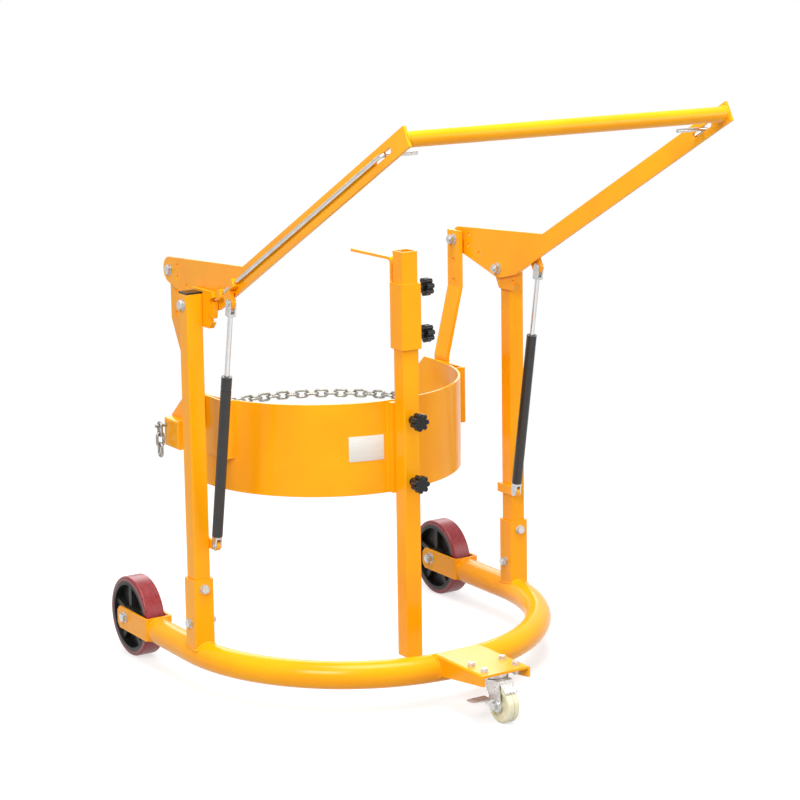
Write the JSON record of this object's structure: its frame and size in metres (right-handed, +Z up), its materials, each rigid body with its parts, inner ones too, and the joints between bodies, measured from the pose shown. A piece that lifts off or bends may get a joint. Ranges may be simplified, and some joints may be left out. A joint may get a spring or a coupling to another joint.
{
  "type": "drum tipper",
  "caption": "Wheeled hand drum tipper: horseshoe tube base with posts, a long lifting lever with gas springs, and a tilting band, chain and rim hook that hold a steel drum.",
  "frame": {"origin": "on the floor, under the middle of the part's bounding box", "axes": "+Z up, +Y towards the open end of the base, where the drum goes in, +X to the right seen from the operator's side"},
  "size_m": [0.879, 1.241, 1.2256],
  "materials": {
    "amber_paint": "gloss amber-yellow enamel",
    "zinc_steel": "bright zinc plating",
    "chrome_rod": "ground chrome",
    "dark_cylinder": "satin dark grey",
    "red_polyurethane": "cast polyurethane",
    "black_core": "black paint",
    "cream_nylon": "cream nylon",
    "black_plastic": "black moulded plastic"
  },
  "bodies": {
    "base": {"base_ring": "amber_paint", "wheel_fork_left": "amber_paint", "wheel_fork_right": "amber_paint", "caster_channel": "amber_paint", "caster_bolts": "zinc_steel", "caster_head": "zinc_steel", "post_socket_left": "amber_paint", "post_socket_right": "amber_paint", "post_left": "amber_paint", "post_right": "amber_paint", "post_caps": "black_plastic", "socket_bolts": "zinc_steel", "spring_lugs": "amber_paint", "lower_pins": "zinc_steel", "latch_sectors": "amber_paint", "pivot_bolts": "zinc_steel", "rear_axles": "zinc_steel"},
    "lever": {"lever_plate_left": "amber_paint", "lever_plate_right": "amber_paint", "lever_arm_left": "amber_paint", "lever_arm_right": "amber_paint", "crossbar": "amber_paint", "hanger_bolts": "zinc_steel", "spring_tabs": "amber_paint", "plunger_guides": "amber_paint"},
    "left_plunger": {"plunger_left": "zinc_steel"},
    "right_plunger": {"plunger_right": "zinc_steel"},
    "left_spring_cylinder": {"gas_cylinder_left": "dark_cylinder", "lower_clevis_left": "zinc_steel"},
    "right_spring_cylinder": {"gas_cylinder_right": "dark_cylinder", "lower_clevis_right": "zinc_steel"},
    "left_spring_rod": {"gas_rod_left": "chrome_rod", "upper_clevis_left": "zinc_steel"},
    "right_spring_rod": {"gas_rod_right": "chrome_rod", "upper_clevis_right": "zinc_steel"},
    "hangers": {"hanger_left": "amber_paint", "hanger_right": "amber_paint"},
    "holder": {"drum_band": "amber_paint", "band_bracket_left": "amber_paint", "band_bracket_right": "amber_paint", "trunnion_pins": "zinc_steel", "mast_pad": "amber_paint", "mast": "amber_paint", "binder_box": "amber_paint", "chain": "zinc_steel"},
    "rim_hook": {"hook_sleeve": "amber_paint", "hook_bar": "amber_paint"},
    "lower_mast_knob": {"mast_knob_low": "black_plastic"},
    "upper_mast_knob": {"mast_knob_high": "black_plastic"},
    "lower_sleeve_knob": {"sleeve_knob_low": "black_plastic"},
    "upper_sleeve_knob": {"sleeve_knob_high": "black_plastic"},
    "left_wheel": {"wheel_core_left": "black_core", "wheel_tyre_left": "red_polyurethane"},
    "right_wheel": {"wheel_core_right": "black_core", "wheel_tyre_right": "red_polyurethane"},
    "caster": {"caster_fork": "zinc_steel", "caster_axle": "zinc_steel", "brake_plate": "zinc_steel"},
    "front_wheel": {"caster_wheel": "cream_nylon"},
    "brake": {"brake_pedal": "zinc_steel"}
  },
  "joints": [
    {"name": "lever_lift", "type": "hinge", "parent": "base", "child": "lever", "pos_m": [0, 0.15198, 0.812], "axis": [1, 0, 0], "range_deg": [0, 40]},
    {"name": "hanger_swing", "type": "hinge", "parent": "lever", "child": "hangers", "pos_m": [0, 0.30198, 0.861], "axis": [1, 0, 0], "range_deg": [-40, 0]},
    {"name": "holder_tilt", "type": "hinge", "parent": "hangers", "child": "holder", "pos_m": [0, 0.30198, 0.535], "axis": [-1, 0, 0], "range_deg": [0, 120]},
    {"name": "rim_hook_slide", "type": "slide", "parent": "holder", "child": "rim_hook", "axis": [0, 0, 1], "range_m": [-0.1, 0.05]},
    {"name": "lower_mast_knob_turn", "type": "hinge", "parent": "holder", "child": "lower_mast_knob", "pos_m": [0, -0.05102, 0.42523], "axis": [0, -1, 0], "continuous": true},
    {"name": "upper_mast_knob_turn", "type": "hinge", "parent": "holder", "child": "upper_mast_knob", "pos_m": [0, -0.05102, 0.55588], "axis": [0, -1, 0], "continuous": true},
    {"name": "lower_sleeve_knob_turn", "type": "hinge", "parent": "rim_hook", "child": "lower_sleeve_knob", "pos_m": [0.024, -0.03202, 0.72903], "axis": [1, 0, 0], "continuous": true},
    {"name": "upper_sleeve_knob_turn", "type": "hinge", "parent": "rim_hook", "child": "upper_sleeve_knob", "pos_m": [0.024, -0.03202, 0.8263], "axis": [1, 0, 0], "continuous": true},
    {"name": "left_spring_rock", "type": "hinge", "parent": "base", "child": "left_spring_cylinder", "pos_m": [-0.376, 0.11098, 0.313], "axis": [1, 0, 0], "range_deg": [-0.5, 0]},
    {"name": "left_spring_stroke", "type": "slide", "parent": "left_spring_cylinder", "child": "left_spring_rod", "axis": [0, -0.1715, 0.9852], "range_m": [-0.0905, 0]},
    {"name": "left_plunger_pull", "type": "slide", "parent": "lever", "child": "left_plunger", "axis": [0, -0.8786, 0.4776], "range_m": [-0.012, 0.01]},
    {"name": "left_wheel_roll", "type": "hinge", "parent": "base", "child": "left_wheel", "pos_m": [-0.398, 0.44198, 0.087], "axis": [1, 0, 0], "continuous": true},
    {"name": "right_spring_rock", "type": "hinge", "parent": "base", "child": "right_spring_cylinder", "pos_m": [0.376, 0.11098, 0.313], "axis": [1, 0, 0], "range_deg": [-0.5, 0]},
    {"name": "right_spring_stroke", "type": "slide", "parent": "right_spring_cylinder", "child": "right_spring_rod", "axis": [0, -0.1715, 0.9852], "range_m": [-0.0905, 0]},
    {"name": "right_plunger_pull", "type": "slide", "parent": "lever", "child": "right_plunger", "axis": [0, -0.8786, 0.4776], "range_m": [-0.012, 0.01]},
    {"name": "right_wheel_roll", "type": "hinge", "parent": "base", "child": "right_wheel", "pos_m": [0.398, 0.44198, 0.087], "axis": [1, 0, 0], "continuous": true},
    {"name": "caster_swivel", "type": "hinge", "parent": "base", "child": "caster", "pos_m": [0, -0.33602, 0.085], "axis": [0, 0, 1], "continuous": true},
    {"name": "front_wheel_roll", "type": "hinge", "parent": "caster", "child": "front_wheel", "pos_m": [0, -0.37102, 0.0375], "axis": [1, 0, 0], "continuous": true},
    {"name": "brake_press", "type": "hinge", "parent": "caster", "child": "brake", "pos_m": [-0.0195, -0.37102, 0.0375], "axis": [1, 0, 0], "range_deg": [-12, 0]}
  ],
  "couplings": [
    {"joint": "hanger_swing", "follows": "lever_lift", "ratio": -1},
    {"joint": "left_spring_rock", "follows": "lever_lift", "ratio": -0.012},
    {"joint": "left_spring_stroke", "follows": "lever_lift", "m_per_rad": -0.12925},
    {"joint": "right_spring_rock", "follows": "lever_lift", "ratio": -0.012},
    {"joint": "right_spring_stroke", "follows": "lever_lift", "m_per_rad": -0.12925}
  ]
}
